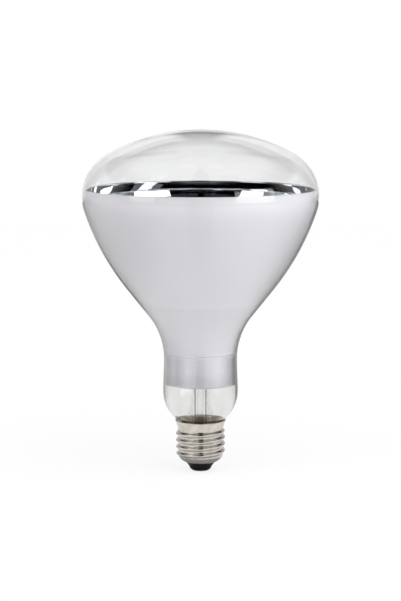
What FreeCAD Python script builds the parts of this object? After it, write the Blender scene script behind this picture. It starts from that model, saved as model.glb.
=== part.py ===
import FreeCAD, Part
import math
import os

from FreeCAD import Vector

# Infrared reflector lamp with a 27 mm screw cap, cap down, in millimetres and degrees.
# The origin is the middle of the centre contact, where the lamp meets its holder, and +Z is the lamp's axis.

# Cap: centre contact, insulator and threaded shell, stacked upwards
contact_height = 0.5
contact_flat_diameter = 4.0
contact_solder_diameter = 7.0
contact_solder_bulge = 0.12
eyelet_thickness = 0.5
eyelet_diameter = 9.2
eyelet_tube_diameter = 3.2
eyelet_tube_wall = 0.4
eyelet_tube_length = 2.6
insulator_height = 4.2
insulator_diameter = 10.6
insulator_round = 0.5
insulator_lip = 0.9
insulator_funnel_diameter = 9.0
shell_sheet = 0.3
shell_end_turn = 3.7
shell_end_height = 3.4
shell_end_bulge = 0.5
skirt_height = 4.8
skirt_flare = 1.55

# Thread rolled into the shell: right-handed, round crests
thread_diameter = 26.2
thread_depth = 1.05
thread_pitch = 3.629
thread_crest_radius = 1.025
thread_crest_angle = 62.2
thread_length = 14.6
thread_fade = 1.0
thread_phase = 270.0

# Glass: dome, reflector bowl, neck and the closed end inside the cap
glass_wall = 1.2
bulb_diameter = 125.0
crown_radius = 102.5
shoulder_radius = 26.3
hip_radius = 21.5
hip_angle = 18.2
reflector_radius = 136.5
cone_length = 17.0
flare_radius = 37.6
neck_diameter = 39.8
neck_waist = 0.47
neck_length = 17.4
neck_round = 19.8
seal_fillet = 5.0
seal_length = 3.9
seal_depth = 7.5
cement_gap = 0.75
cement_recess = 0.6

# Reflector film on the inside of the glass
film_thickness = 0.15
film_above_girth = 4.2
film_above_neck = 4.3

# Stem: long trumpet, pinched top and the exhaust tube inside it
stem_diameter = 9.0
stem_wall = 1.0
stem_length = 31.5
stem_foot = 1.2
press_taper = 7.0
press_height = 8.0
press_width = 12.0
press_thickness = 3.2
exhaust_diameter = 4.2
exhaust_wall = 0.6
exhaust_tip_length = 4.0
exhaust_tip_clearance = 3.0
exhaust_tip_diameter = 1.0

# Filament mount: arbor with its button, supports, leads and the filament ring
arbor_diameter = 3.0
arbor_length = 19.0
button_diameter = 6.4
support_diameter = 0.5
support_grip = 1.9
support_reach = 2.4
support_rise = 10.0
support_bend = 3.0
support_count = 5
loop_clearance = 0.1
filament_ring_diameter = 26.0
filament_coil_diameter = 1.1
filament_span = 230.0
filament_tail = 3.0
clamp_diameter = 2.0
lead_spacing = 5.8
seal_wire_diameter = 0.8
inner_lead_diameter = 1.0
inner_lead_foot = 4.0
inner_lead_head = 6.0
inner_lead_bend = 4.0
outer_lead_diameter = 0.6
outer_lead_bend = 1.5
outer_lead_drop = 3.0
outer_lead_end = 0.3
contact_lead_end = 0.6
contact_lead_slope = 55.0
side_solder_diameter = 4.6
side_solder_lift = 0.5
side_solder_angle = 216.0

# Heights and radii that follow
z_eyelet = contact_height
z_insulator = z_eyelet + eyelet_thickness
z_shell = z_insulator + insulator_height
z_thread = z_shell + shell_end_height
z_skirt = z_thread + thread_length
z_rim = z_skirt + skirt_height
z_seal = z_rim - seal_depth
z_tail = z_seal + seal_length
z_cement = z_rim - cement_recess

r_crest = thread_diameter / 2
r_root = r_crest - thread_depth
r_inside = r_root - shell_sheet
r_end = r_root - shell_end_turn
r_rim = r_root + skirt_flare
r_seal = r_inside - cement_gap
r_neck = neck_diameter / 2
r_waist = r_neck - neck_waist
r_girth = bulb_diameter / 2


def sine(angle):
    return math.sin(math.radians(angle))


def cosine(angle):
    return math.cos(math.radians(angle))


def at(radius, height):
    return Vector(radius, 0, height)


def line(start, end):
    return Part.makeLine(start, end)


# Arc in the half plane of the axis, about a centre, from one angle to another
def arc(centre, radius, start, end):
    points = []
    for angle in (start, (start + end) / 2, end):
        points.append(centre + at(radius * cosine(angle), radius * sine(angle)))
    return Part.Arc(*points).toShape()


# Arc from one point to another that bulges to the right of its chord
def bowed_arc(start, end, bulge):
    chord = end - start
    side = Vector(chord.z, 0, -chord.x).normalize()
    return Part.Arc(start, (start + end) / 2 + side * bulge, end).toShape()


# Straight edges through the points
def path(*points):
    return [line(start, end) for start, end in zip(points, points[1:])]


# Straight runs through the points, joined by tangent arcs
def bent_path(points, bend):
    edges = []
    start = points[0]
    for before, corner, after in zip(points, points[1:], points[2:]):
        back = (before - corner).normalize()
        ahead = (after - corner).normalize()
        half_angle = back.getAngle(ahead) / 2
        inward = (back + ahead).normalize()
        entry = corner + back * (bend / math.tan(half_angle))
        leave = corner + ahead * (bend / math.tan(half_angle))
        middle = corner + inward * (bend / math.sin(half_angle) - bend)
        edges.append(line(start, entry))
        edges.append(Part.Arc(entry, middle, leave).toShape())
        start = leave
    edges.append(line(start, points[-1]))
    return edges


# Closed outline turned about the axis
def turned(edges):
    face = Part.Face(Part.Wire(Part.__sortEdges__(edges)))
    return face.revolve(Vector(), Vector(0, 0, 1), 360)


# Round wire drawn along a path
def drawn(edges, diameter):
    start = edges[0].valueAt(edges[0].FirstParameter)
    along = edges[0].tangentAt(edges[0].FirstParameter)
    section = Part.Wire(Part.makeCircle(diameter / 2, start, along))
    return Part.Wire(edges).makePipeShell([section], True, True)


def slab(bottom, top):
    return Part.makeCylinder(bulb_diameter, top - bottom, Vector(0, 0, bottom))


# Angle of the cone, at which the bowl's arc, the straight cone and the neck flare share tangents
turn_radius = flare_radius + reflector_radius
hip_inset = hip_radius * (1 - cosine(hip_angle))
side_reach = flare_radius + reflector_radius * cosine(hip_angle) + hip_inset - (r_girth - r_waist)
cone_lean = math.atan2(cone_length, turn_radius)
cone_angle = math.degrees(math.acos(side_reach / math.hypot(turn_radius, cone_length)) - cone_lean)

# Angle at which the round of the neck runs into the fillet of the seal
round_reach = neck_round + seal_fillet
round_offset = r_seal + seal_fillet - (r_neck - neck_round)
round_angle = math.degrees(math.acos(round_offset / round_reach))

# Centres of the glass arcs, from the seal up to the crown
seal_centre = at(r_seal + seal_fillet, z_tail)
z_neck = z_tail + round_reach * sine(round_angle)
round_centre = at(r_neck - neck_round, z_neck)
z_waist = z_neck + neck_length
flare_centre = at(r_waist + flare_radius, z_waist)
cone_run = at(cone_length * sine(cone_angle), cone_length * cosine(cone_angle))
cone_foot = flare_centre - at(flare_radius * cosine(cone_angle), -flare_radius * sine(cone_angle))
cone_head = cone_foot + cone_run
bowl_centre = cone_head - at(reflector_radius * cosine(cone_angle), -reflector_radius * sine(cone_angle))
bowl_top = bowl_centre + at(reflector_radius * cosine(hip_angle), -reflector_radius * sine(hip_angle))
hip_centre = bowl_top - at(hip_radius * cosine(hip_angle), -hip_radius * sine(hip_angle))
z_girth = hip_centre.z
shoulder_centre = at(r_girth - shoulder_radius, z_girth)
crown_drop = math.sqrt((crown_radius - shoulder_radius) ** 2 - shoulder_centre.x ** 2)
crown_centre = at(0, z_girth - crown_drop)
crown_angle = math.degrees(math.atan2(crown_drop, shoulder_centre.x))


# Section of the glass from crown to seal, moved inwards by a depth
def glass_outline(depth):
    inward = at(cosine(cone_angle), -sine(cone_angle)) * depth
    neck_top = at(r_waist - depth, z_waist)
    neck_foot = at(r_neck - depth, z_neck)
    neck_third = at(0, neck_length / 3)
    neck_curve = Part.BezierCurve()
    neck_curve.setPoles([neck_top, neck_top - neck_third, neck_foot + neck_third, neck_foot])
    return [
        arc(crown_centre, crown_radius - depth, 90, crown_angle),
        arc(shoulder_centre, shoulder_radius - depth, crown_angle, 0),
        arc(hip_centre, hip_radius - depth, 0, -hip_angle),
        arc(bowl_centre, reflector_radius - depth, -hip_angle, -cone_angle),
        line(cone_head - inward, cone_foot - inward),
        arc(flare_centre, flare_radius + depth, 180 - cone_angle, 180),
        neck_curve.toShape(),
        arc(round_centre, neck_round - depth, 0, -round_angle),
        arc(seal_centre, seal_fillet + depth, 180 - round_angle, 180),
        line(at(r_seal - depth, z_tail), at(r_seal - depth, z_seal)),
    ]


# Everything inside the glass section at a depth
def glass_core(depth):
    crown = at(0, crown_centre.z + crown_radius - depth)
    closing = path(at(r_seal - depth, z_seal), at(0, z_seal), crown)
    return turned(glass_outline(depth) + closing)


# Blown envelope of even wall, open at the foot where the stem is sealed in
z_crown = crown_centre.z + crown_radius
envelope_edges = glass_outline(0) + glass_outline(glass_wall)
envelope_edges += path(at(0, z_crown), at(0, z_crown - glass_wall))
envelope_edges += path(at(r_seal, z_seal), at(r_seal - glass_wall, z_seal))
glass_envelope = turned(envelope_edges)

# Metal film laid on the inner wall between two level edges
film_coat = glass_core(glass_wall).cut(glass_core(glass_wall + film_thickness))
reflector_film = film_coat.common(slab(z_neck + film_above_neck, z_girth + film_above_girth))

# Section of the cap's sheet, inside and outside
shell_outer = [
    bowed_arc(at(r_end, z_shell), at(r_root, z_thread), shell_end_bulge),
    line(at(r_root, z_thread), at(r_root, z_skirt)),
    line(at(r_root, z_skirt), at(r_rim, z_rim)),
]
shell_inner = [
    bowed_arc(at(r_end, z_shell + shell_sheet), at(r_inside, z_thread), shell_end_bulge),
    line(at(r_inside, z_thread), at(r_inside, z_skirt)),
    line(at(r_inside, z_skirt), at(r_rim - shell_sheet, z_rim)),
]
shell_end_edge = line(at(r_end, z_shell), at(r_end, z_shell + shell_sheet))
shell_rim_edge = line(at(r_rim - shell_sheet, z_rim), at(r_rim, z_rim))
shell_body = turned(shell_outer + shell_inner + [shell_end_edge, shell_rim_edge])

# Thread: a round-crested bead on a helix, its foot sunk into the sheet, faded out at both ends
crest_centre = r_crest - thread_crest_radius
flank_start = at(
    crest_centre + thread_crest_radius * cosine(thread_crest_angle),
    thread_crest_radius * sine(thread_crest_angle),
)
bead_foot = r_root - shell_sheet / 2
flank_run = (flank_start.x - bead_foot) / math.tan(math.radians(thread_crest_angle))
foot_half = flank_start.z + flank_run
bead_edges = [arc(at(crest_centre, 0), thread_crest_radius, -thread_crest_angle, thread_crest_angle)]
bead_edges += path(
    flank_start,
    at(bead_foot, foot_half),
    at(bead_foot, -foot_half),
    at(flank_start.x, -flank_start.z),
)
bead_helix = Part.makeHelix(thread_pitch, thread_length + thread_pitch, r_root)
thread_bead = Part.Wire(bead_helix).makePipeShell([Part.Wire(bead_edges)], True, True)
thread_bead.rotate(Vector(), Vector(0, 0, 1), thread_phase)
thread_bead.translate(Vector(0, 0, z_thread - thread_pitch / 2))
fade_edges = path(
    at(0, z_thread),
    at(r_root, z_thread),
    at(r_root + thread_pitch, z_thread + thread_fade * thread_pitch / thread_depth),
    at(r_root + thread_pitch, z_skirt - thread_fade * thread_pitch / thread_depth),
    at(r_root, z_skirt),
    at(0, z_skirt),
    at(0, z_thread),
)
thread_bead = thread_bead.common(turned(fade_edges))
cap_shell = shell_body.fuse(thread_bead)

# Insulator: pressed glass, held in the turned-in end of the shell, with a funnel for the lead
r_tube = eyelet_tube_diameter / 2
z_insulator_top = z_thread + insulator_lip
insulator_side = bent_path(
    [at(r_tube, z_insulator), at(insulator_diameter / 2, z_insulator), at(r_end, z_shell)],
    insulator_round,
)
insulator_top = path(
    at(r_inside, z_thread),
    at(r_inside, z_insulator_top),
    at(insulator_funnel_diameter / 2, z_insulator_top),
    at(r_tube, z_insulator + eyelet_tube_length),
    at(r_tube, z_insulator),
)
cap_insulator = turned(insulator_side + [shell_end_edge, shell_inner[0]] + insulator_top)

# Contact eyelet: washer under the insulator with a tube up its hole
r_tube_bore = r_tube - eyelet_tube_wall
contact_eyelet = turned(path(
    at(r_tube_bore, z_eyelet),
    at(eyelet_diameter / 2, z_eyelet),
    at(eyelet_diameter / 2, z_insulator),
    at(r_tube, z_insulator),
    at(r_tube, z_insulator + eyelet_tube_length),
    at(r_tube_bore, z_insulator + eyelet_tube_length),
    at(r_tube_bore, z_eyelet),
))

# Stem: long trumpet that closes the neck, and the flat press pinched over the wires
r_foot = r_seal - glass_wall
r_stem = stem_diameter / 2
r_bore = r_stem - stem_wall
z_press = z_seal + stem_length
z_flat = z_press + press_taper
z_press_top = z_flat + press_height
trumpet_rise = stem_length - stem_foot
trumpet_spread = r_foot - r_stem
trumpet_radius = (trumpet_rise ** 2 + trumpet_spread ** 2) / (2 * trumpet_spread)
bore_radius = trumpet_radius + stem_wall
trumpet_centre = at(r_stem + trumpet_radius, z_press)
trumpet_turn = math.degrees(math.asin(trumpet_rise / trumpet_radius))
bore_turn = math.degrees(math.asin(stem_length / bore_radius))
r_toe = trumpet_centre.x - bore_radius * cosine(bore_turn)
stem_tube = turned(
    [
        arc(trumpet_centre, trumpet_radius, 180, 180 + trumpet_turn),
        arc(trumpet_centre, bore_radius, 180, 180 + bore_turn),
    ]
    + path(at(r_foot, z_seal + stem_foot), at(r_foot, z_seal), at(r_toe, z_seal))
    + path(at(r_bore, z_press), at(r_stem, z_press))
)
tube_quarters = []
for quarter in range(4):
    quarter_start = 90 * quarter - 45
    tube_quarters.append(Part.makeCircle(r_stem, at(0, z_press), at(0, 1), quarter_start, quarter_start + 90))
flat_half = (press_width - press_thickness) / 2
r_press = press_thickness / 2
right_middle = Vector(flat_half, 0, z_flat)
left_middle = Vector(-flat_half, 0, z_flat)
thickness_step = Vector(0, r_press, 0)
flat_section = Part.Wire([
    Part.makeCircle(r_press, right_middle, at(0, 1), -90, 90),
    line(right_middle + thickness_step, left_middle + thickness_step),
    Part.makeCircle(r_press, left_middle, at(0, 1), 90, 270),
    line(left_middle - thickness_step, right_middle - thickness_step),
])
stem_shoulder = Part.makeLoft([Part.Wire(tube_quarters), flat_section], True)
stem_press = Part.Face(flat_section).extrude(at(0, press_height))
stem_glass = stem_tube.fuse([stem_shoulder, stem_press])

# Seal wires through the press, one to each lead
seal_wires = {}
for side, name in ((-1, "seal_wire_left"), (1, "seal_wire_right")):
    foot = Vector(side * lead_spacing / 2, 0, z_press)
    seal_wires[name] = Part.makeCylinder(seal_wire_diameter / 2, z_press_top - z_press, foot)
stem = stem_glass.cut(list(seal_wires.values()))

# Exhaust tube: hangs in the stem from the press and is drawn off to a closed tip inside the cap
r_exhaust = exhaust_diameter / 2
r_exhaust_bore = r_exhaust - exhaust_wall
z_tip = z_insulator_top + exhaust_tip_clearance
z_tip_top = z_tip + exhaust_tip_length
exhaust_tube = turned(path(
    at(0, z_tip),
    at(exhaust_tip_diameter / 2, z_tip),
    at(r_exhaust, z_tip_top),
    at(r_exhaust, z_press),
    at(r_exhaust_bore, z_press),
    at(r_exhaust_bore, z_tip_top),
    at(0, z_tip + exhaust_tip_length / 2),
    at(0, z_tip),
))

# Filament: coiled wire in an open ring, with a straight tail into each clamp
z_button = z_press_top + arbor_length
z_filament = z_button + support_rise
r_ring = filament_ring_diameter / 2
filament_start = 90 - filament_span / 2
filament_end = 90 + filament_span / 2
start_point = Vector(r_ring * cosine(filament_start), r_ring * sine(filament_start), z_filament)
end_point = Vector(r_ring * cosine(filament_end), r_ring * sine(filament_end), z_filament)
start_way = Vector(sine(filament_start), -cosine(filament_start), 0)
end_way = Vector(-sine(filament_end), cosine(filament_end), 0)
ring_arc = Part.Arc(start_point, Vector(0, r_ring, z_filament), end_point).toShape()
filament_path = [
    line(start_point + start_way * filament_tail, start_point),
    ring_arc,
    line(end_point, end_point + end_way * filament_tail),
]
filament = drawn(filament_path, filament_coil_diameter)

# Supports: wires set in the arbor's button, each with a loop round the filament
loop_radius = filament_coil_diameter / 2 + loop_clearance + support_diameter / 2
support_foot = at(button_diameter / 2 - support_grip, z_button)
support_corner = at(button_diameter / 2 + support_reach, z_button)
support_head = at(r_ring, z_filament - loop_radius)
support_wire = drawn(bent_path([support_foot, support_corner, support_head], support_bend), support_diameter)
support_loop = Part.makeTorus(loop_radius, support_diameter / 2, at(r_ring, z_filament), Vector(0, 1, 0))
support = support_wire.fuse(support_loop)
supports = {}
for number in range(1, support_count + 1):
    placed = support.copy()
    support_angle = filament_start + filament_span * number / (support_count + 1)
    placed.rotate(Vector(), Vector(0, 0, 1), support_angle)
    supports["filament_support_%d" % number] = placed

# Arbor: glass rod on the press with a melted button that grips the supports
arbor_stick = Part.makeCylinder(arbor_diameter / 2, arbor_length, at(0, z_press_top))
arbor_button = Part.makeSphere(button_diameter / 2, at(0, z_button))
arbor_rod = arbor_stick.fuse(arbor_button).cut(list(supports.values()))

# Inner leads: from the press up and out to a clamp sleeve on each filament tail
inner_leads = {}
lead_ends = (
    (-1, "inner_lead_left", end_point, end_way),
    (1, "inner_lead_right", start_point, start_way),
)
for side, name, tail, way in lead_ends:
    foot = Vector(side * lead_spacing / 2, 0, z_press_top)
    head = tail + way * (filament_tail / 2)
    lead_points = [foot, foot + at(0, inner_lead_foot), head - at(0, inner_lead_head), head]
    lead_wire = drawn(bent_path(lead_points, inner_lead_bend), inner_lead_diameter)
    sleeve = Part.makeCylinder(clamp_diameter / 2, filament_tail, tail, way)
    sleeve_bore = Part.makeCylinder(filament_coil_diameter / 2, filament_tail, tail, way)
    inner_leads[name] = lead_wire.fuse(sleeve).cut(sleeve_bore)

# Outer lead to the centre contact: down beside the exhaust tube, then in to the axis and the solder
contact_lead_foot = at(lead_spacing / 2, z_press)
z_contact_turn = z_tip - outer_lead_diameter
contact_lead_fall = lead_spacing / 2 * math.tan(math.radians(contact_lead_slope))
outer_lead_centre = drawn(
    bent_path(
        [
            contact_lead_foot,
            at(lead_spacing / 2, z_contact_turn),
            at(0, z_contact_turn - contact_lead_fall),
            at(0, z_eyelet + contact_lead_end),
        ],
        outer_lead_bend,
    ),
    outer_lead_diameter,
)

# Outer lead to the shell: out under the seal and up through the cement to the rim
r_gap = (r_seal + r_inside) / 2
z_gap_turn = z_seal - outer_lead_drop
z_lead_end = z_rim - outer_lead_end
r_glass_at_lead = seal_centre.x - math.sqrt(seal_fillet ** 2 - (z_lead_end - z_tail) ** 2)
r_lead_end = (r_glass_at_lead + r_rim - shell_sheet) / 2
side_turn = FreeCAD.Rotation(Vector(0, 0, 1), side_solder_angle)
outer_lead_side = drawn(
    bent_path(
        [
            at(-lead_spacing / 2, z_press),
            at(-lead_spacing / 2, z_gap_turn),
            side_turn.multVec(at(r_gap, z_gap_turn)),
            side_turn.multVec(at(r_gap, z_skirt)),
            side_turn.multVec(at(r_lead_end, z_lead_end)),
        ],
        outer_lead_bend,
    ),
    outer_lead_diameter,
)

# Cement: ring between shell and glass, set round the side lead
shell_cavity = turned(shell_inner + path(
    at(r_rim - shell_sheet, z_rim),
    at(0, z_rim),
    at(0, z_shell + shell_sheet),
    at(r_end, z_shell + shell_sheet),
))
cement_ring = shell_cavity.common(slab(z_seal, z_cement)).cut(glass_core(0))
basing_cement = cement_ring.cut(outer_lead_side)

# Solder under the eyelet, with the contact flat, and solder over the rim
r_solder = contact_solder_diameter / 2
r_contact = contact_flat_diameter / 2
z_solder_top = z_insulator + eyelet_tube_length / 2
solder_edge = bowed_arc(at(r_contact, 0), at(r_solder, z_eyelet), contact_solder_bulge)
contact_solder = turned([solder_edge] + path(
    at(r_solder, z_eyelet),
    at(r_tube_bore, z_eyelet),
    at(r_tube_bore, z_solder_top),
    at(0, z_solder_top),
    at(0, 0),
    at(r_contact, 0),
)).cut(outer_lead_centre)
solder_middle = side_turn.multVec(at(r_rim - shell_sheet / 2, z_rim + side_solder_lift))
solder_ball = Part.makeSphere(side_solder_diameter / 2, solder_middle)
side_solder = solder_ball.cut([cap_shell, glass_core(0), cement_ring, outer_lead_side])

nodes = {
    "glass_envelope": glass_envelope,
    "reflector_film": reflector_film,
    "stem": stem,
    "exhaust_tube": exhaust_tube,
    "arbor_rod": arbor_rod,
    "filament": filament,
    "outer_lead_side": outer_lead_side,
    "outer_lead_centre": outer_lead_centre,
    "cap_shell": cap_shell,
    "cap_insulator": cap_insulator,
    "contact_eyelet": contact_eyelet,
    "contact_solder": contact_solder,
    "side_solder": side_solder,
    "basing_cement": basing_cement,
}
nodes.update(seal_wires)
nodes.update(inner_leads)
nodes.update(supports)

os.makedirs("parts", exist_ok=True)
for name, shape in nodes.items():
    shape.exportStep("parts/%s.step" % name)
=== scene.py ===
import math

import bpy
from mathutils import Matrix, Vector


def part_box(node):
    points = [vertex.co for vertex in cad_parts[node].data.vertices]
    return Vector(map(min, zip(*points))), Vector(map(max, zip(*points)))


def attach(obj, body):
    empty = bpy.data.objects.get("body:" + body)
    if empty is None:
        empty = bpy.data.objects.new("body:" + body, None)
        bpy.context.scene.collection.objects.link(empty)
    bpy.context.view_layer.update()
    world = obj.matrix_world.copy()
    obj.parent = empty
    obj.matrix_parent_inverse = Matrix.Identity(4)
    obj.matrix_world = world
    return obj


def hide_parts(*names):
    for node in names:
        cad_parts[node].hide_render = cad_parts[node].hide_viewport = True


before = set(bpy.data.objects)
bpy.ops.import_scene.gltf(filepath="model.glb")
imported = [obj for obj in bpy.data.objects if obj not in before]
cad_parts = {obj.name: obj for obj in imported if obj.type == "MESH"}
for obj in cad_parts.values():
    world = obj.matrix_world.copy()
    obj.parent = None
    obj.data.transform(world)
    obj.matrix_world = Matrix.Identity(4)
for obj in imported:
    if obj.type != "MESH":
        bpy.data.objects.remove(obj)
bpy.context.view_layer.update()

# Glass envelope
# One blown piece of clear hard glass: a low dome, the bowl behind it and a straight neck.
# Its foot is rounded in and melted on to the stem, inside the cap.
glass_low, glass_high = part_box("glass_envelope")
girth_radius = glass_high.y
crown_radius = 0.1025
crown_steps = 24
shoulder_radius = 0.0263
shoulder_steps = 16
hip_radius = 0.0215
hip_angle = 18.2
hip_steps = 6
bowl_radius = 0.1365
bowl_steps = 22
cone_length = 0.0170
flare_radius = 0.0376
flare_steps = 12
neck_radius = 0.0199
neck_waist = 0.00047
neck_length = 0.0174
neck_steps = 10
neck_round = 0.0198
round_steps = 10
seal_radius = 0.0110
seal_fillet = 0.0050
seal_length = 0.0039
seal_steps = 6
glass_wall = 0.0012
wall_thinning = 0.0005
glass_sides = 192
pole_radius = 0.000005
merge_distance = 0.00002
cloud_detail = 4
cloud_range = (0.3, 0.7)
foot_fade = (0.0262, 0.0274)
foot_tone = (0.85, 0.78, 0.66)
neck_fade = (0.046, 0.058)
neck_tone = (0.898, 0.896, 0.888)
crown_fade = (0.145, 0.153)
crown_tone = 0.975


def sine(angle):
    return math.sin(math.radians(angle))


def cosine(angle):
    return math.cos(math.radians(angle))


# A share from none to one, made slow at both ends
def eased(share):
    return share * share * (3 - 2 * share)


# Points of an arc in degrees, whose radius can grow on the way
def arc(centre, radius, start, end, steps, growth=0):
    points = []
    for step in range(steps + 1):
        angle = start + (end - start) * step / steps
        reach = radius + growth * step / steps
        points.append((centre[0] + reach * cosine(angle), centre[1] + reach * sine(angle)))
    return points


# Angles and centres at which the arcs of the section run into each other
waist_radius = neck_radius - neck_waist
turn_radius = flare_radius + bowl_radius
side_reach = flare_radius + bowl_radius * cosine(hip_angle) + hip_radius * (1 - cosine(hip_angle))
side_reach -= girth_radius - waist_radius
cone_lean = math.atan2(cone_length, turn_radius)
cone_angle = math.degrees(math.acos(side_reach / math.hypot(turn_radius, cone_length)) - cone_lean)
round_reach = neck_round + seal_fillet
round_run = seal_radius + seal_fillet - neck_radius + neck_round
round_angle = math.degrees(math.acos(round_run / round_reach))
crown_drop = math.sqrt((crown_radius - shoulder_radius) ** 2 - (girth_radius - shoulder_radius) ** 2)
crown_angle = math.degrees(math.atan2(crown_drop, girth_radius - shoulder_radius))

crown_centre = (0, glass_high.z - crown_radius)
girth_height = crown_centre[1] + crown_drop
shoulder_centre = (girth_radius - shoulder_radius, girth_height)
hip_centre = (girth_radius - hip_radius, girth_height)
bowl_shift = bowl_radius - hip_radius
bowl_centre = (
    hip_centre[0] - bowl_shift * cosine(hip_angle),
    hip_centre[1] + bowl_shift * sine(hip_angle),
)
tail_height = glass_low.z + seal_length
neck_height = tail_height + round_reach * sine(round_angle)
waist_height = neck_height + neck_length
flare_centre = (waist_radius + flare_radius, waist_height)
round_centre = (neck_radius - neck_round, neck_height)
seal_centre = (seal_radius + seal_fillet, tail_height)


# The glass section from crown to foot, moved inwards by a depth, less so where it was blown thin
def glass_section(depth, thinning=0):
    stretches = [
        arc(crown_centre, crown_radius - depth + thinning, 90, crown_angle, crown_steps),
        arc(shoulder_centre, shoulder_radius - depth + thinning, crown_angle, 0, shoulder_steps, -thinning),
        arc(hip_centre, hip_radius - depth, 0, -hip_angle, hip_steps),
        arc(bowl_centre, bowl_radius - depth, -hip_angle, -cone_angle, bowl_steps),
        arc(flare_centre, flare_radius + depth, 180 - cone_angle, 180, flare_steps),
    ]
    neck = []
    for step in range(neck_steps + 1):
        share = step / neck_steps
        neck.append((waist_radius + neck_waist * eased(share) - depth, waist_height - neck_length * share))
    stretches.append(neck)
    stretches.append(arc(round_centre, neck_round - depth, 0, -round_angle, round_steps, thinning))
    fillet = seal_fillet + depth - thinning
    stretches.append(arc(seal_centre, fillet, 180 - round_angle, 180, seal_steps, thinning))
    stretches.append([(seal_radius - depth, tail_height), (seal_radius - depth, glass_low.z)])
    section = [(pole_radius, stretches[0][0][1])]
    for stretch in stretches:
        section += stretch[1:]
    return section


# A ring of edges, extruded and scaled from point to point of an outline, as on a lathe
def turned(name, outline, sides):
    start_radius, start_height = outline[0]
    bpy.ops.object.select_all(action="DESELECT")
    bpy.ops.mesh.primitive_circle_add(vertices=sides, radius=start_radius, location=(0, 0, start_height))
    piece = bpy.context.active_object
    piece.name = name
    bpy.ops.object.transform_apply(location=True)
    bpy.ops.object.mode_set(mode="EDIT")
    bpy.ops.mesh.select_all(action="SELECT")
    for before, after in zip(outline, outline[1:]):
        rise = (0, 0, after[1] - before[1])
        growth = after[0] / before[0]
        bpy.ops.mesh.extrude_region_move(TRANSFORM_OT_translate={"value": rise})
        bpy.ops.transform.resize(value=(growth, growth, 1), center_override=(0, 0, after[1]))
    bpy.ops.mesh.select_all(action="SELECT")
    bpy.ops.mesh.remove_doubles(threshold=merge_distance)
    bpy.ops.mesh.normals_make_consistent(inside=False)
    bpy.ops.object.mode_set(mode="OBJECT")
    bpy.ops.object.shade_smooth()
    return piece


# A new material and its shader
def new_finish(name):
    finish = bpy.data.materials.new(name)
    finish.use_nodes = True
    return finish, finish.node_tree.nodes["Principled BSDF"]


# Gives a node's input what comes out of another node, or else a plain number
def feed(socket, value):
    if isinstance(value, bpy.types.NodeSocket):
        socket.id_data.links.new(value, socket)
    else:
        socket.default_value = value


# Cloudy change between two colours, or two greys for a value, over the piece
def mottle(shader, name, scale, low, high):
    nodes = shader.id_data.nodes
    place = nodes.new("ShaderNodeTexCoord")
    cloud = nodes.new("ShaderNodeTexNoise")
    cloud.inputs["Scale"].default_value = scale
    cloud.inputs["Detail"].default_value = cloud_detail
    tones = nodes.new("ShaderNodeValToRGB")
    for stop, position, colour in zip(tones.color_ramp.elements, cloud_range, (low, high)):
        stop.position = position
        stop.color = (*colour, 1)
    feed(cloud.inputs["Vector"], place.outputs["Object"])
    feed(tones.inputs["Fac"], cloud.outputs["Fac"])
    feed(shader.inputs[name], tones.outputs["Color"])


# Fine unevenness of a surface: its size as a noise scale and its height in metres
def unevenness(shader, scale, height):
    nodes = shader.id_data.nodes
    place = nodes.new("ShaderNodeTexCoord")
    cloud = nodes.new("ShaderNodeTexNoise")
    cloud.inputs["Scale"].default_value = scale
    bump = nodes.new("ShaderNodeBump")
    bump.inputs["Distance"].default_value = height
    feed(cloud.inputs["Vector"], place.outputs["Object"])
    feed(bump.inputs["Height"], cloud.outputs["Fac"])
    feed(shader.inputs["Normal"], bump.outputs["Normal"])


def grey(value):
    return (value, value, value)


# Tones up a piece, from stops of a height and a colour
def height_tones(shader, stops):
    nodes = shader.id_data.nodes
    place = nodes.new("ShaderNodeTexCoord")
    axes = nodes.new("ShaderNodeSeparateXYZ")
    rise = nodes.new("ShaderNodeMapRange")
    rise.inputs["From Min"].default_value = stops[0][0]
    rise.inputs["From Max"].default_value = stops[-1][0]
    tones = nodes.new("ShaderNodeValToRGB")
    tones.color_ramp.interpolation = "EASE"
    elements = tones.color_ramp.elements
    elements[0].color = (*stops[0][1], 1)
    elements[1].color = (*stops[-1][1], 1)
    for height, colour in stops[1:-1]:
        share = (height - stops[0][0]) / (stops[-1][0] - stops[0][0])
        elements.new(share).color = (*colour, 1)
    feed(axes.inputs["Vector"], place.outputs["Object"])
    feed(rise.inputs["Value"], axes.outputs["Z"])
    feed(tones.inputs["Fac"], rise.outputs["Result"])
    return tones.outputs["Color"]


# Multiplies the colour that already reaches a shader by other tones
def tint(shader, name, tones):
    product = shader.id_data.nodes.new("ShaderNodeVectorMath")
    product.operation = "MULTIPLY"
    feed(product.inputs[0], shader.inputs[name].links[0].from_socket)
    feed(product.inputs[1], tones)
    feed(shader.inputs[name], product.outputs["Vector"])


def place_piece(piece, finish, slot, *nodes):
    piece.data.materials.append(finish)
    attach(piece, "root")
    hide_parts(*nodes)


inner_section = glass_section(glass_wall, wall_thinning)
outer_section = glass_section(0)
glass_envelope = turned("blown_envelope", inner_section + outer_section[::-1], glass_sides)

clear_glass, clear_shader = new_finish("clear_blown_glass")
clear_shader.inputs["Transmission Weight"].default_value = 1.0
clear_shader.inputs["IOR"].default_value = 1.47
clear_shader.inputs["Roughness"].default_value = 0.0
mottle(clear_shader, "Base Color", scale=18, low=(0.984, 0.988, 0.985), high=(0.996, 0.998, 0.996))
wall_tones = height_tones(clear_shader, [
    (foot_fade[0], foot_tone),
    (foot_fade[1], neck_tone),
    (neck_fade[0], neck_tone),
    (neck_fade[1], grey(1.0)),
    (crown_fade[0], grey(1.0)),
    (crown_fade[1], grey(crown_tone)),
])
tint(clear_shader, "Base Color", wall_tones)
unevenness(clear_shader, scale=14, height=0.0004)
place_piece(glass_envelope, clear_glass, "clear_glass", "glass_envelope")

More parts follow.
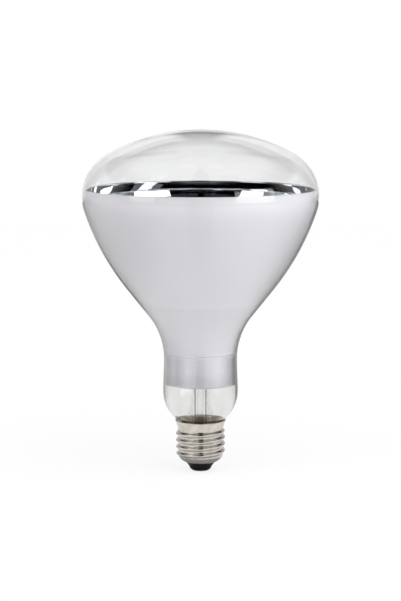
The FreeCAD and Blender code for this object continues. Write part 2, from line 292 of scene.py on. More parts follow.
# Reflector film
# Bright metal laid on the inside of the bowl and the neck by vacuum, from a level line above the
# widest part down to a level line on the neck. From outside it is satin on the bowl and bright on the neck.
film_low, film_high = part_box("reflector_film")
film_gap = 0.00005
film_depth = 0.00015
satin_line = 0.0640
satin_blur = 0.0025
bowl_line = 0.0920
line_blur = 0.0003
hip_fade = (0.120, 0.145)


# The stretch of a section between two heights
def between(section, low, high):
    stretch = []
    for before, after in zip(section, section[1:]):
        for height in (high, low):
            if before[1] > height > after[1]:
                share = (before[1] - height) / (before[1] - after[1])
                stretch.append((before[0] + (after[0] - before[0]) * share, height))
        if high > after[1] > low:
            stretch.append(after)
    return stretch


film_outside = between(glass_section(glass_wall + film_gap), film_low.z, film_high.z)
film_inside = between(glass_section(glass_wall + film_depth), film_low.z, film_high.z)
film = turned("mirror_film", film_outside + film_inside[::-1] + film_outside[:1], glass_sides)

satin_film, satin_shader = new_finish("satin_film_outside")
mottle(satin_shader, "Base Color", scale=22, low=(0.92, 0.91, 0.97), high=(0.96, 0.955, 1.0))
film_shade = height_tones(satin_shader, [
    (satin_line - satin_blur, grey(0.82)),
    (satin_line + satin_blur, grey(0.94)),
    (bowl_line - line_blur, grey(0.95)),
    (bowl_line + line_blur, grey(1.0)),
])
tint(satin_shader, "Base Color", film_shade)
film_metal = height_tones(satin_shader, [
    (satin_line - satin_blur, grey(1.0)),
    (satin_line + satin_blur, grey(0.45)),
    (hip_fade[0], grey(0.40)),
    (hip_fade[1], grey(0.10)),
])
feed(satin_shader.inputs["Metallic"], film_metal)
film_rough = height_tones(satin_shader, [
    (satin_line - satin_blur, grey(0.11)),
    (satin_line + satin_blur, grey(0.34)),
    (bowl_line - line_blur, grey(0.36)),
    (bowl_line + line_blur, grey(0.40)),
])
feed(satin_shader.inputs["Roughness"], film_rough)

mirror_film, mirror_shader = new_finish("bright_film_inside")
mirror_shader.inputs["Metallic"].default_value = 1.0
mottle(mirror_shader, "Base Color", scale=40, low=(0.83, 0.855, 0.90), high=(0.88, 0.90, 0.94))
mottle(mirror_shader, "Roughness", scale=60, low=grey(0.015), high=grey(0.04))
unevenness(mirror_shader, scale=45, height=0.0002)

place_piece(film, satin_film, "mirror_film", "reflector_film")
film.data.materials.append(mirror_film)
for face in film.data.polygons:
    outwards = face.normal.x * face.center.x + face.normal.y * face.center.y
    face.material_index = 0 if outwards > 0 else 1

# Stem
# Drawn clear glass tube, blown out to a long trumpet whose foot closes the neck. Its top is pinched flat,
# while soft, over the two seal wires.
stem_low, stem_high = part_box("stem")
stem_radius = 0.0045
stem_wall = 0.0010
stem_foot = 0.0012
stem_sides = 64
foot_radius = seal_radius - glass_wall - film_gap
press_height = 0.0080
press_taper = 0.0070
press_half_width = 0.0060
press_half_thickness = 0.0016
press_round = 0.0004
press_foot = stem_high.z - press_height - press_taper
taper_steps = 8
trumpet_steps = 16
trumpet_rise = press_foot - stem_low.z - stem_foot
trumpet_spread = foot_radius - stem_radius
trumpet_radius = (trumpet_rise ** 2 + trumpet_spread ** 2) / (2 * trumpet_spread)
trumpet_bore = trumpet_radius + stem_wall
trumpet_centre = (stem_radius + trumpet_radius, press_foot)
trumpet_turn = math.degrees(math.asin(trumpet_rise / trumpet_radius))
bore_turn = math.degrees(math.asin((trumpet_rise + stem_foot) / trumpet_bore))
glass_crease = 50
stem_outline = [(pole_radius, press_foot)]
stem_outline += arc(trumpet_centre, trumpet_bore, 180, 180 + bore_turn, trumpet_steps)
stem_outline += [(foot_radius, stem_low.z)]
stem_outline += arc(trumpet_centre, trumpet_radius, 180 + trumpet_turn, 180, trumpet_steps)
stem = turned("stem_tube", stem_outline, stem_sides)


# Extends what is selected upwards, then scales it in width and thickness about the axis
def drawn_up(rise, height, width_growth, thickness_growth):
    bpy.ops.mesh.extrude_region_move(TRANSFORM_OT_translate={"value": (0, 0, rise)})
    bpy.ops.transform.resize(value=(width_growth, thickness_growth, 1), center_override=(0, 0, height))


# Smooth shading of the active piece, with edges sharper than an angle in degrees left crisp
def smooth_below(angle):
    bpy.ops.object.shade_smooth_by_angle(angle=math.radians(angle))


bpy.ops.object.mode_set(mode="EDIT")
bpy.ops.mesh.select_all(action="DESELECT")
bpy.ops.object.mode_set(mode="OBJECT")
for vertex in stem.data.vertices:
    reach = math.hypot(vertex.co.x, vertex.co.y)
    level = abs(vertex.co.z - press_foot) < merge_distance
    vertex.select = level and reach > stem_radius - merge_distance
bpy.ops.object.mode_set(mode="EDIT")
width = stem_radius
thickness = stem_radius
for step in range(1, taper_steps + 1):
    share = step / taper_steps
    next_width = stem_radius + (press_half_width - stem_radius) * eased(share)
    next_thickness = stem_radius + (press_half_thickness - stem_radius) * eased(share)
    height = press_foot + press_taper * share
    drawn_up(press_taper / taper_steps, height, next_width / width, next_thickness / thickness)
    width = next_width
    thickness = next_thickness
drawn_up(press_height - press_round, stem_high.z - press_round, 1, 1)
top_width = 1 - press_round / press_half_width
top_thickness = 1 - press_round / press_half_thickness
drawn_up(press_round, stem_high.z, top_width, top_thickness)
bpy.ops.mesh.edge_face_add()
bpy.ops.mesh.select_all(action="SELECT")
bpy.ops.mesh.normals_make_consistent(inside=False)
bpy.ops.object.mode_set(mode="OBJECT")
smooth_below(glass_crease)

stem_glass, stem_shader = new_finish("clear_drawn_glass")
stem_shader.inputs["Transmission Weight"].default_value = 1.0
stem_shader.inputs["IOR"].default_value = 1.52
stem_shader.inputs["Roughness"].default_value = 0.0
mottle(stem_shader, "Base Color", scale=60, low=(0.97, 0.98, 0.972), high=(0.985, 0.992, 0.985))
unevenness(stem_shader, scale=120, height=0.0001)
place_piece(stem, stem_glass, "stem_glass", "stem")
tube_glass = stem_glass.copy()
tube_glass.name = "thin_tube_glass"
tube_glass.node_tree.nodes["Principled BSDF"].inputs["Alpha"].default_value = 0.10
stem.data.materials.append(tube_glass)
for face in stem.data.polygons:
    face.material_index = 1 if face.center.z < press_foot else 0

# Exhaust tube
# Thin glass tube that hangs in the stem from the press. The lamp was pumped through it, and it was
# then drawn off in a flame to the closed tip inside the cap.
exhaust_low, exhaust_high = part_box("exhaust_tube")
exhaust_radius = exhaust_high.x
exhaust_wall = 0.0006
exhaust_sides = 48
exhaust_tip = 0.0040
exhaust_tip_radius = 0.0005
exhaust_shoulder = exhaust_low.z + exhaust_tip
draw_share = 0.35
draw_radius = (exhaust_radius + exhaust_tip_radius) / 2 + exhaust_tip_radius
tip_swell = 1.6
exhaust_outline = [
    (pole_radius, exhaust_low.z + exhaust_tip / 2),
    (exhaust_radius - exhaust_wall, exhaust_shoulder),
    (exhaust_radius - exhaust_wall, exhaust_high.z),
    (exhaust_radius, exhaust_high.z),
    (exhaust_radius, exhaust_shoulder),
    (draw_radius, exhaust_shoulder - exhaust_tip * draw_share),
    (exhaust_tip_radius * tip_swell, exhaust_low.z + exhaust_tip_radius),
    (exhaust_tip_radius, exhaust_low.z + exhaust_tip_radius / 4),
    (pole_radius, exhaust_low.z),
]
exhaust_tube = turned("exhaust_tip_tube", exhaust_outline, exhaust_sides)
smooth_below(glass_crease)
place_piece(exhaust_tube, tube_glass, "stem_glass", "exhaust_tube")

# Arbor rod
# Solid glass rod stuck on the press. Its end is melted to a button, and the filament supports are
# pushed into it while it is soft.
arbor_low, arbor_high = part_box("arbor_rod")
arbor_radius = 0.0015
arbor_sides = 48
button_radius = arbor_high.x
button_steps = 16
button_centre = (0, arbor_high.z - button_radius)
button_foot = -math.degrees(math.acos(arbor_radius / button_radius))
arbor_outline = [(pole_radius, arbor_low.z), (arbor_radius, arbor_low.z)]
arbor_outline += arc(button_centre, button_radius, button_foot, 90, button_steps)[:-1]
arbor_outline += [(pole_radius, arbor_high.z)]
arbor_rod = turned("arbor_with_button", arbor_outline, arbor_sides)
smooth_below(glass_crease)
place_piece(arbor_rod, stem_glass, "stem_glass", "arbor_rod")


# Wires
# Drawn wires of the mount: copper-clad ones through the press, nickel leads above it with clamped ends,
# tarnished copper ones down to the cap, and grey supports whose loops carry the filament.
def wire_finish(name, dark, light, roughness):
    finish, shader = new_finish(name)
    shader.inputs["Metallic"].default_value = 1.0
    mottle(shader, "Base Color", scale=900, low=dark, high=light)
    mottle(shader, "Roughness", scale=700, low=grey(roughness[0]), high=grey(roughness[1]))
    unevenness(shader, scale=2500, height=0.00001)
    return finish


wire_finishes = {
    "seal_wire": wire_finish(
        "copper_clad_wire",
        dark=(0.45, 0.17, 0.10),
        light=(0.62, 0.27, 0.17),
        roughness=(0.30, 0.45),
    ),
    "inner_lead": wire_finish(
        "drawn_nickel_wire",
        dark=(0.48, 0.46, 0.43),
        light=(0.62, 0.60, 0.57),
        roughness=(0.25, 0.38),
    ),
    "outer_lead": wire_finish(
        "tarnished_copper_wire",
        dark=(0.09, 0.065, 0.05),
        light=(0.17, 0.115, 0.085),
        roughness=(0.35, 0.5),
    ),
    "filament_support": wire_finish(
        "grey_support_wire",
        dark=(0.34, 0.34, 0.35),
        light=(0.48, 0.48, 0.49),
        roughness=(0.30, 0.42),
    ),
}
for node_name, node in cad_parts.items():
    for kind, finish in wire_finishes.items():
        if node_name.startswith(kind):
            node.data.materials.clear()
            node.data.materials.append(finish)

# Filament
# Fine wire wound in a close coil, hung in an open ring through the support loops. A straight tail of the
# coil is held in the clamp of each lead.
filament_low, filament_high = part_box("filament")
coil_radius = (filament_high.z - filament_low.z) / 2
filament_wire = 0.00010
filament_sides = 5
filament_pitch = 0.00042
filament_ring = 0.0130
filament_span = math.radians(230)
filament_tail = 0.0030
filament_arc = filament_ring * filament_span
filament_length = filament_arc + 2 * filament_tail
filament_turns = round(filament_length / filament_pitch)
turn_steps = 10
bpy.ops.object.select_all(action="DESELECT")
bpy.ops.mesh.primitive_circle_add(
    vertices=filament_sides,
    radius=filament_wire,
    location=(-filament_length / 2, 0, coil_radius - filament_wire),
    rotation=(math.pi / 2, 0, 0),
)
filament = bpy.context.active_object
filament.name = "coiled_filament"
bpy.ops.object.transform_apply(location=True, rotation=True)
winding = filament.modifiers.new("winding", "SCREW")
winding.axis = "X"
winding.screw_offset = filament_length / filament_turns
winding.iterations = filament_turns
winding.steps = turn_steps
winding.render_steps = turn_steps
bpy.ops.object.modifier_apply(modifier="winding")
ring = filament.modifiers.new("ring", "SIMPLE_DEFORM")
ring.deform_method = "BEND"
ring.deform_axis = "Z"
ring.angle = filament_span
tail_share = filament_tail / filament_length
ring.limits = (tail_share, 1 - tail_share)
bpy.ops.object.modifier_apply(modifier="ring")
bpy.ops.object.mode_set(mode="EDIT")
bpy.ops.mesh.select_all(action="SELECT")
bpy.ops.mesh.normals_make_consistent(inside=False)
bpy.ops.transform.rotate(value=math.pi, orient_axis="Z", center_override=(0, 0, 0))
bpy.ops.transform.translate(value=(0, filament_ring, filament_low.z + coil_radius))
bpy.ops.object.mode_set(mode="OBJECT")
bpy.ops.object.shade_smooth()
filament_finish = wire_finish(
    "grey_filament_wire",
    dark=(0.20, 0.20, 0.21),
    light=(0.32, 0.32, 0.33),
    roughness=(0.35, 0.5),
)
place_piece(filament, filament_finish, "filament_wire", "filament")

# Cap shell
# Thin brass sheet, drawn to a cup, with its thread rolled in, its rim flared and its end turned in over
# the insulator. It is nickel plated and polished by handling.
shell_low, shell_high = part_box("cap_shell")
shell_sheet = 0.0003
shell_sides = 160
thread_radius = 0.0131
thread_depth = 0.00105
thread_pitch = 0.003629
thread_crest = 0.001025
thread_length = 0.0146
thread_fade = 0.0012
thread_rings = 84
thread_phase = 0.5
thread_start = 0.0095
root_radius = thread_radius - thread_depth
end_radius = 0.00835
end_height = 0.0034
end_bulge = 0.0005
end_rings = 12
rim_radius = shell_high.x
rim_roll = 0.00025
roll_start = -60
roll_rings = 6
skirt_rings = 8
thread_low = shell_low.z + end_height
thread_high = thread_low + thread_length
skirt_top = (rim_radius - rim_roll, shell_high.z - 2 * rim_roll)
roll_centre = (rim_radius - rim_roll, shell_high.z - rim_roll)
metal_crease = 40


# Points of a shallow curve between two points, bulging to the right
def bowed(start, end, bulge, steps):
    run = (end[0] - start[0], end[1] - start[1])
    chord = math.hypot(*run)
    points = []
    for step in range(1, steps + 1):
        share = step / steps
        lift = 4 * bulge * share * (1 - share) / chord
        across = start[0] + run[0] * share + run[1] * lift
        up = start[1] + run[1] * share - run[0] * lift
        points.append((across, up))
    return points


shell_outline = [(end_radius, shell_low.z + shell_sheet), (end_radius, shell_low.z)]
shell_outline += bowed((end_radius, shell_low.z), (root_radius, thread_low), end_bulge, end_rings)
for step in range(1, thread_rings + 1):
    shell_outline.append((root_radius, thread_low + thread_length * step / thread_rings))
shell_outline += bowed((root_radius, thread_high), skirt_top, 0, skirt_rings)
shell_outline += arc(roll_centre, rim_roll, roll_start, 90, roll_rings)
shell = turned("threaded_shell", shell_outline, shell_sides)


# Height of the rolled thread at a distance along the axis from its crest
def thread_lift(distance):
    quarter = thread_pitch / 4
    drop = thread_crest - math.sqrt(thread_crest ** 2 - quarter ** 2)
    if abs(distance) < quarter:
        fall = thread_crest - math.sqrt(thread_crest ** 2 - distance ** 2)
        return thread_depth * (1 - fall / (2 * drop))
    rise = thread_crest - math.sqrt(thread_crest ** 2 - (thread_pitch / 2 - abs(distance)) ** 2)
    return thread_depth * rise / (2 * drop)


for vertex in shell.data.vertices:
    if thread_low < vertex.co.z < thread_high:
        turn = math.atan2(vertex.co.y, vertex.co.x) / math.tau
        travel = (vertex.co.z - thread_start) / thread_pitch - turn + thread_phase
        distance = (travel - round(travel)) * thread_pitch
        margin = min(vertex.co.z - thread_low, thread_high - vertex.co.z)
        fade = min(1, margin / thread_fade)
        growth = 1 + thread_lift(distance) * fade / root_radius
        vertex.co.x *= growth
        vertex.co.y *= growth
sheet = shell.modifiers.new("sheet", "SOLIDIFY")
sheet.thickness = shell_sheet
sheet.offset = -1
bpy.ops.object.modifier_apply(modifier="sheet")
smooth_below(metal_crease)

nickel_plate, nickel_shader = new_finish("handled_nickel_plate")
nickel_shader.inputs["Metallic"].default_value = 1.0
mottle(nickel_shader, "Base Color", scale=260, low=(0.54, 0.512, 0.468), high=(0.70, 0.662, 0.608))
mottle(nickel_shader, "Roughness", scale=420, low=grey(0.09), high=grey(0.20))
unevenness(nickel_shader, scale=900, height=0.00003)
place_piece(shell, nickel_plate, "cap_metal", "cap_shell")

# Cap insulator
# Black glass pressed hot into the end of the shell, which it locks into. A cone shows below the shell,
# and a funnel inside leads the wire to the contact.
insulator_low, insulator_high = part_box("cap_insulator")
eyelet_low, eyelet_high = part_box("contact_eyelet")
tube_radius = 0.0016
insulator_foot = 0.0053
insulator_round = 0.0006
insulator_sides = 96
insulator_crease = 45
funnel_radius = 0.0045
insulator_gap = 0.00004
cone_bulge = 0.0003
cone_rings = 8
inside_radius = root_radius - shell_sheet - insulator_gap
insulator_outline = [
    (tube_radius, insulator_low.z),
    (tube_radius, eyelet_high.z),
    (funnel_radius, insulator_high.z),
    (inside_radius, insulator_high.z),
    (inside_radius, thread_low + shell_sheet),
]
insulator_outline += bowed(
    (end_radius - insulator_gap, shell_low.z + 2 * shell_sheet),
    (inside_radius, thread_low + shell_sheet),
    end_bulge - insulator_gap,
    cone_rings,
)[-2::-1]
foot_edge = []
for out_share, up_share in ((0.6, 1.0), (0.2, 0.35), (-0.5, 0.0)):
    edge_radius = insulator_foot + insulator_round * out_share
    foot_edge.append((edge_radius, insulator_low.z + insulator_round * up_share))
insulator_outline += bowed((end_radius - insulator_gap, shell_low.z), foot_edge[0], cone_bulge, cone_rings)
insulator_outline += foot_edge[1:]
insulator_outline += [(tube_radius, insulator_low.z)]
insulator = turned("pressed_insulator", insulator_outline, insulator_sides)
smooth_below(insulator_crease)
black_glass, black_shader = new_finish("pressed_black_glass")
black_shader.inputs["Specular IOR Level"].default_value = 0.08
mottle(black_shader, "Base Color", scale=300, low=(0.004, 0.004, 0.005), high=(0.009, 0.009, 0.010))
mottle(black_shader, "Roughness", scale=500, low=grey(0.12), high=grey(0.3))
unevenness(black_shader, scale=700, height=0.00006)
place_piece(insulator, black_glass, "black_glass", "cap_insulator")

# Centre contact
# A pressed brass eyelet riveted in the insulator's hole, and the solder that fills it over the end of
# the centre lead, with a small flat where it presses on the holder.
eyelet_edge = 0.00012
eyelet_wall = 0.0004
eyelet_radius = eyelet_high.x
eyelet_top = insulator_low.z
contact_sides = 64
bore_radius = tube_radius - eyelet_wall
eyelet_outline = [
    (bore_radius, eyelet_high.z),
    (bore_radius, eyelet_low.z),
    (eyelet_radius - eyelet_edge, eyelet_low.z),
    (eyelet_radius, eyelet_low.z + eyelet_edge),
    (eyelet_radius, eyelet_top - eyelet_edge),
    (eyelet_radius - eyelet_edge, eyelet_top),
    (tube_radius - insulator_gap, eyelet_top),
    (tube_radius - insulator_gap, eyelet_high.z),
    (bore_radius, eyelet_high.z),
]
eyelet = turned("contact_washer", eyelet_outline, contact_sides)
smooth_below(metal_crease)
# The eyelet's brass is painted dark: painted shade for where it sits low by the table.
brass = wire_finish(
    "brass_with_painted_shade",
    dark=(0.16, 0.13, 0.08),
    light=(0.28, 0.23, 0.14),
    roughness=(0.3, 0.45),
)
place_piece(eyelet, brass, "eyelet_metal", "contact_eyelet")

solder_low, solder_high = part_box("contact_solder")
solder_flat = 0.0020
solder_bulge = 0.00012
solder_rings = 6
solder_edge = (solder_high.x, eyelet_low.z - insulator_gap)
solder_outline = [
    (pole_radius, solder_high.z),
    (bore_radius - insulator_gap, solder_high.z),
    (bore_radius - insulator_gap, eyelet_low.z - insulator_gap),
    solder_edge,
]
solder_outline += bowed(solder_edge, (solder_flat, solder_low.z), solder_bulge, solder_rings)
solder_outline += [(pole_radius, solder_low.z)]
contact_solder = turned("contact_bead", solder_outline, contact_sides)
smooth_below(metal_crease)
solder_finish, solder_shader = new_finish("dull_solder")
solder_shader.inputs["Metallic"].default_value = 1.0
mottle(solder_shader, "Base Color", scale=500, low=(0.17, 0.165, 0.16), high=(0.34, 0.335, 0.33))
mottle(solder_shader, "Roughness", scale=400, low=grey(0.35), high=grey(0.55))
unevenness(solder_shader, scale=900, height=0.00008)
place_piece(contact_solder, solder_finish, "solder", "contact_solder")

# Side solder
# A drop of solder melted over the rim of the shell and the end of the side lead. It froze as a lumpy
# bead that stands against the glass.
bead_radius = 0.0022
bead_lift = 0.0015
bead_flatness = 0.55
bead_height = 0.80
bead_angle = math.radians(216)
bead_gap = 0.00005
lump_size = 0.0011
lump_height = 0.0007
bpy.ops.object.select_all(action="DESELECT")
bpy.ops.mesh.primitive_ico_sphere_add(subdivisions=5, radius=bead_radius)
side_solder = bpy.context.active_object
side_solder.name = "rim_solder"
lump_cloud = bpy.data.textures.new("solder_lumps", "CLOUDS")
lump_cloud.noise_scale = lump_size
lumps = side_solder.modifiers.new("lumps", "DISPLACE")
lumps.texture = lump_cloud
lumps.texture_coords = "LOCAL"
lumps.mid_level = 0.5
lumps.strength = lump_height
bpy.ops.object.modifier_apply(modifier="lumps")


# Radius of a section at a height
def radius_at(section, height):
    for before, after in zip(section, section[1:]):
        if before[1] >= height >= after[1]:
            share = (before[1] - height) / (before[1] - after[1])
            return before[0] + (after[0] - before[0]) * share


bead_ring = rim_radius - shell_sheet / 2
for vertex in side_solder.data.vertices:
    turn = bead_angle + vertex.co.y / bead_ring
    height = shell_high.z + bead_lift + vertex.co.z * bead_height
    reach = max(bead_ring + vertex.co.x * bead_flatness, radius_at(outer_section, height) + bead_gap)
    vertex.co = (reach * math.cos(turn), reach * math.sin(turn), height)
bpy.ops.object.shade_smooth()
place_piece(side_solder, solder_finish, "solder", "side_solder")

# Basing cement
# Brown resin cement packed between shell and glass, then baked hard. Its top shows in the mouth of the
# shell and through the foot of the glass.
cement_low, cement_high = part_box("basing_cement")
cement_gap = 0.00005
cement_section = between(glass_section(-cement_gap), cement_low.z, cement_high.z)
skirt_slope = (rim_radius - root_radius) / (shell_high.z - thread_high)
cement_shell = root_radius - shell_sheet - cement_gap
cement_top = cement_shell + skirt_slope * (cement_high.z - thread_high)
cement_foot = cement_section[0][0]
cement_steps = 6
cement_sides = 128
cement_crease = 50
cement_outline = []
for step in range(cement_steps + 1):
    share = step / cement_steps
    cement_outline.append((cement_foot + (cement_top - cement_foot) * share, cement_high.z))
cement_outline = cement_outline[::-1] + cement_section[1:]
cement_outline += [(seal_radius + cement_gap, cement_low.z), (cement_shell, cement_low.z)]
cement_outline += [(cement_shell, thread_high), (cement_top, cement_high.z)]
cement = turned("baked_cement", cement_outline, cement_sides)
smooth_below(cement_crease)
cement_finish, cement_shader = new_finish("baked_brown_cement")
# Its brown is partly its own and partly painted light: it is set lighter than the cement's own colour, for
# the dim mouth behind the glass.
mottle(cement_shader, "Base Color", scale=700, low=(0.62, 0.40, 0.17), high=(0.88, 0.62, 0.31))
mottle(cement_shader, "Roughness", scale=500, low=grey(0.7), high=grey(0.9))
unevenness(cement_shader, scale=1500, height=0.0002)
place_piece(cement, cement_finish, "cement", "basing_cement")

# Studio table
# A white table top. Seen directly, or straight through glass, it is the white of the backdrop, and its
# lit part keeps the shadow. In reflections it glows with painted light and shade: darker towards the unlit
# sides of the room, with a dark slit at the camera in metal and a painted shadow right under the lamp.
table_front = -1.00
table_back = 1.50
table_half = 1.20
table_gap = 0.0001
table_tone = 0.9
shadow_share = 0.18
shade_reach = 0.010
near_reach = 0.036
far_reach = 0.22
shade_tone = 0.25
camera_turn = 0.25


# Tones round the lamp, from stops of an angle from the camera's side to the right and a tone
def round_tones(way, stops):
    nodes = way.id_data.nodes
    turn = nodes.new("ShaderNodeTexGradient")
    turn.gradient_type = "RADIAL"
    tones = nodes.new("ShaderNodeValToRGB")
    elements = tones.color_ramp.elements
    places = sorted(((angle / 360 + camera_turn) % 1, tone) for angle, tone in stops)
    first, last = places[0], places[-1]
    seam = last[1] + (first[1] - last[1]) * (1 - last[0]) / (1 - last[0] + first[0])
    elements[0].color = (*grey(seam), 1)
    elements[1].color = (*grey(seam), 1)
    for place, tone in places:
        elements.new(place).color = (*grey(tone), 1)
    feed(turn.inputs["Vector"], way)
    feed(tones.inputs["Fac"], turn.outputs["Fac"])
    return tones.outputs["Color"]


# A value worked out from two others
def combined(operation, first, second):
    step = first.id_data.nodes.new("ShaderNodeMath")
    step.operation = operation
    feed(step.inputs[0], first)
    feed(step.inputs[1], second)
    return step.outputs[0]


# The first value where the share is none, the second where it is one
def blended(share, first, second):
    blend = share.id_data.nodes.new("ShaderNodeMix")
    feed(blend.inputs["Factor"], share)
    feed(blend.inputs["A"], first)
    feed(blend.inputs["B"], second)
    return blend.outputs["Result"]


# A soft step from low to high between the two ends of an edge
def soft_step(value, edge, low=0, high=1):
    step = value.id_data.nodes.new("ShaderNodeMapRange")
    step.interpolation_type = "SMOOTHSTEP"
    step.inputs["From Min"].default_value = edge[0]
    step.inputs["From Max"].default_value = edge[1]
    step.inputs["To Min"].default_value = low
    step.inputs["To Max"].default_value = high
    feed(step.inputs["Value"], value)
    return step.outputs["Result"]


# One for what the camera sees, directly or straight through glass, and nothing for the rest
def plain_sight(path):
    seen = combined("MAXIMUM", path["Is Camera Ray"], path["Is Transmission Ray"])
    turns = combined("ADD", path["Glossy Depth"], path["Diffuse Depth"])
    return combined("MULTIPLY", seen, combined("LESS_THAN", turns, 1))


# A material with no nodes yet
def bare_finish(name):
    finish = bpy.data.materials.new(name)
    finish.use_nodes = True
    finish.node_tree.nodes.clear()
    return finish


# Puts a mix of two shaders on a material's surface
def show_mixed(share, first, second):
    nodes = share.id_data.nodes
    mix = nodes.new("ShaderNodeMixShader")
    surface = nodes.new("ShaderNodeOutputMaterial")
    feed(mix.inputs["Fac"], share)
    feed(mix.inputs[1], first.outputs[0])
    feed(mix.inputs[2], second.outputs[0])
    feed(surface.inputs["Surface"], mix.outputs[0])


bpy.ops.object.select_all(action="DESELECT")
bpy.ops.mesh.primitive_plane_add(size=1, location=(0, (table_front + table_back) / 2, -table_gap))
table = bpy.context.active_object
table.name = "studio_table"
table.scale = (2 * table_half, table_back - table_front, 1)
bpy.ops.object.transform_apply(location=True, scale=True)

table_white = bare_finish("table_white")
table_nodes = table_white.node_tree.nodes
table_path = table_nodes.new("ShaderNodeLightPath").outputs
table_place = table_nodes.new("ShaderNodeTexCoord").outputs["Object"]
# Painted light and shade of the room on the table, as metal and glass see it
metal_tones = round_tones(table_place, [
    (-120, 0.70),
    (-50, 0.85),
    (-13, 0.90),
    (-10, 0.15),
    (10, 0.15),
    (13, 0.95),
    (50, 1.00),
    (85, 0.90),
    (130, 0.30),
    (150, 0.08),
    (177, 0.08),
    (183, 0.15),
    (212, 0.15),
])
glass_tones = round_tones(table_place, [
    (-125, 0.40),
    (-95, 0.60),
    (-80, 0.50),
    (-42, 0.85),
    (-6, 0.68),
    (35, 0.90),
    (58, 1.00),
    (80, 0.85),
    (110, 0.50),
    (130, 0.12),
    (162, 0.12),
    (171, 0.92),
    (189, 0.92),
    (198, 0.40),
])
table_reach = table_nodes.new("ShaderNodeVectorMath")
table_reach.operation = "LENGTH"
feed(table_reach.inputs[0], table_place)
# A painted shadow right under the lamp, seen only in reflections
table_shade = soft_step(table_reach.outputs["Value"], (shade_reach, near_reach), low=shade_tone)
table_far = soft_step(table_reach.outputs["Value"], (near_reach, far_reach))
table_tones = blended(table_path["Is Transmission Ray"], metal_tones, glass_tones)
table_room = blended(table_far, table_shade, table_tones)
table_level = blended(plain_sight(table_path), table_room, 1)
table_seen = combined("MAXIMUM", table_path["Is Camera Ray"], table_path["Is Glossy Ray"])
table_shown = combined("MAXIMUM", table_seen, table_path["Is Transmission Ray"])
table_part = combined("MULTIPLY", table_shown, 1 - shadow_share)
table_paint = table_nodes.new("ShaderNodeBsdfDiffuse")
table_paint.inputs["Color"].default_value = (*grey(table_tone), 1)
table_glow = table_nodes.new("ShaderNodeEmission")
feed(table_glow.inputs["Strength"], table_level)
show_mixed(table_part, table_paint, table_glow)
table.data.materials.append(table_white)

# Backdrop
# White paper behind the lamp, in an unlit room whose pale walls and ceiling show in reflections.
# Seen directly, or straight through glass, all of it is white. Dull surfaces get a soft fill.
backdrop_edge = (0.84, 0.965)
backdrop_top = (0.30, 0.22)
ceiling_edge = (0.62, 0.80)
ceiling_tone = 0.6
wall_edge = (0.48, 0.40)
tall_edge = (0.62, 0.54)
room_fill = 1.9
studio = bpy.data.worlds.new("studio")
bpy.context.scene.world = studio
studio.use_nodes = True
room_nodes = studio.node_tree.nodes
room_nodes.clear()
room_path = room_nodes.new("ShaderNodeLightPath").outputs
room_way = room_nodes.new("ShaderNodeTexCoord").outputs["Generated"]
room_axes = room_nodes.new("ShaderNodeSeparateXYZ")
feed(room_axes.inputs["Vector"], room_way)
room_depth = room_axes.outputs["Y"]
room_rise = room_axes.outputs["Z"]
paper = combined("MULTIPLY", soft_step(room_depth, backdrop_edge), soft_step(room_rise, backdrop_top))
ceiling_sides = round_tones(room_way, [
    (-14, 1),
    (-11, 0),
    (11, 0),
    (14, 1),
])
ceiling = combined("MULTIPLY", soft_step(room_rise, ceiling_edge, high=ceiling_tone), ceiling_sides)
metal_sides = round_tones(room_way, [
    (-105, 0.90),
    (-75, 0),
    (75, 0),
    (105, 0.90),
    (132, 0.35),
    (155, 0.35),
    (166, 0.95),
    (175, 0.95),
    (177, 0),
    (183, 0),
    (185, 0.95),
    (194, 0.95),
    (205, 0.45),
    (228, 0.45),
])
tall_sides = round_tones(room_way, [
    (-132, 0),
    (132, 0),
    (145, 0.60),
    (155, 0.65),
    (166, 0.95),
    (175, 0.95),
    (177, 0),
    (183, 0),
    (185, 0.95),
    (194, 0.95),
    (205, 0.65),
    (215, 0.60),
])
clear_sides = round_tones(room_way, [
    (-100, 0.95),
    (-75, 0),
    (75, 0),
    (100, 0.95),
    (175, 0.95),
    (177, 0),
    (183, 0),
    (185, 0.95),
])
metal_walls = combined("MULTIPLY", soft_step(room_rise, wall_edge), metal_sides)
tall_walls = combined("MULTIPLY", soft_step(room_rise, tall_edge), tall_sides)
clear_walls = combined("MULTIPLY", soft_step(room_rise, wall_edge), clear_sides)
outer_walls = combined("MAXIMUM", metal_walls, tall_walls)
walls = blended(room_path["Is Transmission Ray"], outer_walls, clear_walls)
room_round = combined("MAXIMUM", ceiling, walls)
room_level = combined("MAXIMUM", room_round, paper)
fill_sides = round_tones(room_way, [
    (-110, 0.28),
    (-20, 0.82),
    (40, 1.00),
    (85, 0.70),
    (140, 0.30),
])
fill = combined("MULTIPLY", fill_sides, room_fill)
room_lit = blended(room_path["Diffuse Depth"], room_level, fill)
room_seen = blended(plain_sight(room_path), room_lit, 1)
room_back = room_nodes.new("ShaderNodeBackground")
room_back.inputs["Color"].default_value = (1, 1, 1, 1)
feed(room_back.inputs["Strength"], room_seen)
room_out = room_nodes.new("ShaderNodeOutputWorld")
feed(room_out.inputs["Surface"], room_back.outputs[0])

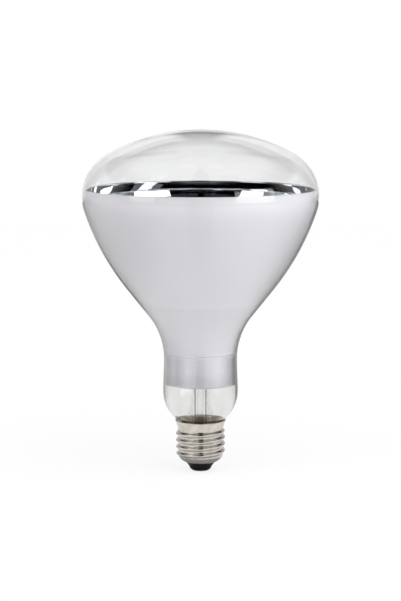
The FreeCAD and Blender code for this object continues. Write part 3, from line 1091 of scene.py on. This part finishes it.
# Low card
# White card bent round the front of the lamp and a little higher than it, with a dark slit at the camera.
# Only outer reflections show it.
card_reach = 0.38
card_height = 0.20
card_sides = 96
bpy.ops.object.select_all(action="DESELECT")
bpy.ops.mesh.primitive_cylinder_add(
    vertices=card_sides,
    radius=card_reach,
    depth=card_height,
    end_fill_type="NOTHING",
    location=(0, 0, card_height / 2),
)
card = bpy.context.active_object
card.name = "low_card"
bpy.ops.object.transform_apply(location=True)
bpy.ops.object.mode_set(mode="EDIT")
bpy.ops.mesh.select_all(action="SELECT")
bpy.ops.mesh.bisect(plane_co=(0, 0, 0), plane_no=(0, 1, 0), clear_outer=True)
bpy.ops.object.mode_set(mode="OBJECT")
card.visible_camera = False
card.visible_diffuse = False
card.visible_shadow = False
card_white = bare_finish("card_white")
card_nodes = card_white.node_tree.nodes
card_path = card_nodes.new("ShaderNodeLightPath").outputs
card_place = card_nodes.new("ShaderNodeTexCoord").outputs["Object"]
card_tones = round_tones(card_place, [
    (-90, 0.80),
    (-14, 0.90),
    (-11, 0.10),
    (11, 0.10),
    (14, 0.95),
    (90, 0.85),
])
card_glow = card_nodes.new("ShaderNodeEmission")
feed(card_glow.inputs["Strength"], card_tones)
card_clear = card_nodes.new("ShaderNodeBsdfTransparent")
show_mixed(card_path["Is Transmission Ray"], card_glow, card_clear)
card.data.materials.append(card_white)

# Soft boxes
# Two large soft lights in front, left and right of the camera.
lamp_aim = Vector((0, 0, 0.11))
box_distance = 1.3


def soft_box(name, azimuth, elevation, width, height, brightness):
    level = cosine(elevation)
    way = Vector((sine(azimuth) * level, -cosine(azimuth) * level, sine(elevation)))
    spot = lamp_aim + way * box_distance
    turn = way.to_track_quat("Z", "Y").to_euler()
    bpy.ops.object.light_add(type="AREA", location=spot, rotation=turn)
    lamp = bpy.context.active_object
    lamp.name = name
    lamp.visible_camera = False
    lamp.data.shape = "RECTANGLE"
    lamp.data.size = width
    lamp.data.size_y = height
    lamp.data.energy = math.pi * width * height * brightness


soft_box("soft_box_left", azimuth=-57, elevation=20, width=0.62, height=0.95, brightness=1.5)
soft_box("soft_box_right", azimuth=54, elevation=12, width=0.95, height=0.60, brightness=2.8)

# Camera
# A little above the lamp and tilted down, with a long lens about a metre away.
eye = Vector((0, -0.9339, 0.2150))
look_at = Vector((0, 0, 0.0920))
bpy.ops.object.camera_add(location=eye, rotation=(look_at - eye).to_track_quat("-Z", "Y").to_euler())
camera = bpy.context.active_object
camera.data.lens = 106.3
camera.data.sensor_width = 36
bpy.context.scene.camera = camera
bpy.context.scene.view_settings.view_transform = "Standard"
